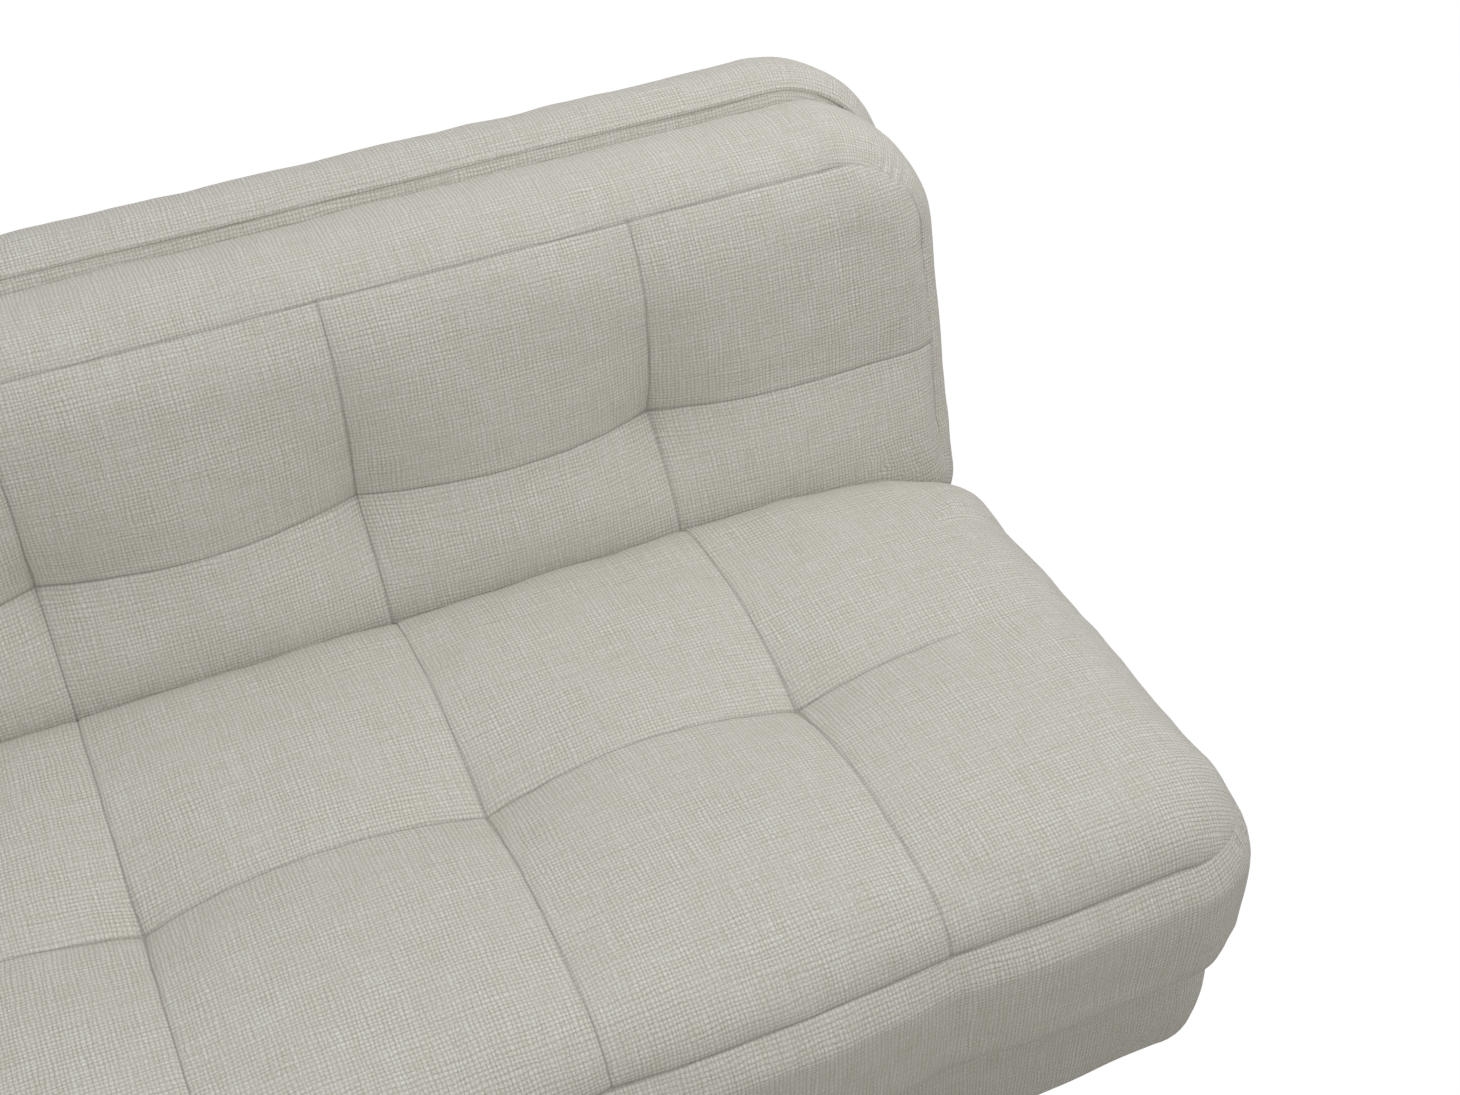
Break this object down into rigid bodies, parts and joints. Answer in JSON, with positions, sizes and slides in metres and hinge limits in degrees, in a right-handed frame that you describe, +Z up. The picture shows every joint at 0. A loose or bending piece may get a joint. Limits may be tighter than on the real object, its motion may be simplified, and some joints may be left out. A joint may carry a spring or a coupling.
{
  "type": "sofa bed",
  "caption": "Armless click-clack sofa bed: a quilted seat on an upholstered plinth, and a quilted back that swings down level with it on ratchet hinges.",
  "frame": {"origin": "middle of the sofa's box in plan, on the floor, with the back up", "axes": "+X along the sofa, to the right as seen from in front; +Y from the front to the back; +Z up"},
  "size_m": [1.9268, 0.9146, 0.7651],
  "materials": {
    "cover_fabric": "warm light grey chunky basket weave with slubs, matt",
    "plinth_fabric": "the same warm light grey weave, drawn over boards",
    "lining_cloth": "black spun-bonded lining cloth",
    "foam": "cut cream upholstery foam",
    "timber": "planed softwood, unfinished",
    "hinge_steel": "pressed steel plate, black lacquer",
    "bolt_steel": "zinc-plated steel",
    "foot_plastic": "black moulded plastic"
  },
  "bodies": {
    "base": {"seat_cushion": "cover_fabric", "seat_foam": "foam", "seat_front_rail": "timber", "seat_rear_rail": "timber", "seat_left_rail": "timber", "seat_right_rail": "timber", "seat_centre_rail": "timber", "seat_slat_1": "timber", "seat_slat_2": "timber", "seat_slat_3": "timber", "seat_slat_4": "timber", "seat_slat_5": "timber", "seat_slat_6": "timber", "plinth_front_pad": "plinth_fabric", "plinth_rear_pad": "plinth_fabric", "plinth_left_pad": "plinth_fabric", "plinth_right_pad": "plinth_fabric", "plinth_front_board": "timber", "plinth_rear_board": "timber", "plinth_left_board": "timber", "plinth_right_board": "timber", "plinth_middle_board": "timber", "plinth_deck": "lining_cloth", "dust_cloth": "lining_cloth", "foot_front_left": "foot_plastic", "foot_front_middle": "foot_plastic", "foot_front_right": "foot_plastic", "foot_rear_left": "foot_plastic", "foot_rear_middle": "foot_plastic", "foot_rear_right": "foot_plastic", "hinge_bracket_left": "hinge_steel", "hinge_bracket_right": "hinge_steel", "bracket_bolt_left_1": "bolt_steel", "bracket_bolt_left_2": "bolt_steel", "bracket_bolt_right_1": "bolt_steel", "bracket_bolt_right_2": "bolt_steel", "pivot_bolt_left": "bolt_steel", "pivot_bolt_right": "bolt_steel", "pawl_pin_left": "bolt_steel", "pawl_pin_right": "bolt_steel", "pawl_spring_left": "bolt_steel", "pawl_spring_right": "bolt_steel"},
    "back": {"back_cushion": "cover_fabric", "back_shell": "cover_fabric", "back_foam": "foam", "back_filling": "foam", "back_bottom_rail": "timber", "back_top_rail": "timber", "back_left_stile": "timber", "back_right_stile": "timber", "back_middle_stile": "timber", "hinge_arm_left": "hinge_steel", "hinge_arm_right": "hinge_steel", "arm_bolt_left_1": "bolt_steel", "arm_bolt_left_2": "bolt_steel", "arm_bolt_right_1": "bolt_steel", "arm_bolt_right_2": "bolt_steel"},
    "pawl_left": {"pawl_left": "bolt_steel"},
    "pawl_right": {"pawl_right": "bolt_steel"}
  },
  "joints": [
    {"name": "back_recline", "type": "hinge", "parent": "base", "child": "back", "pos_m": [0, 0.20658, 0.37], "axis": [-1, 0, 0], "range_deg": [-10, 73]},
    {"name": "pawl_left_swing", "type": "hinge", "parent": "base", "child": "pawl_left", "pos_m": [-0.8884, 0.22246, 0.30835], "axis": [-1, 0, 0], "range_deg": [0, 10], "stiffness_Nm_per_rad": 0.5, "springref_deg": 20.05},
    {"name": "pawl_right_swing", "type": "hinge", "parent": "base", "child": "pawl_right", "pos_m": [0.8884, 0.22246, 0.30835], "axis": [-1, 0, 0], "range_deg": [0, 10], "stiffness_Nm_per_rad": 0.5, "springref_deg": 20.05}
  ]
}
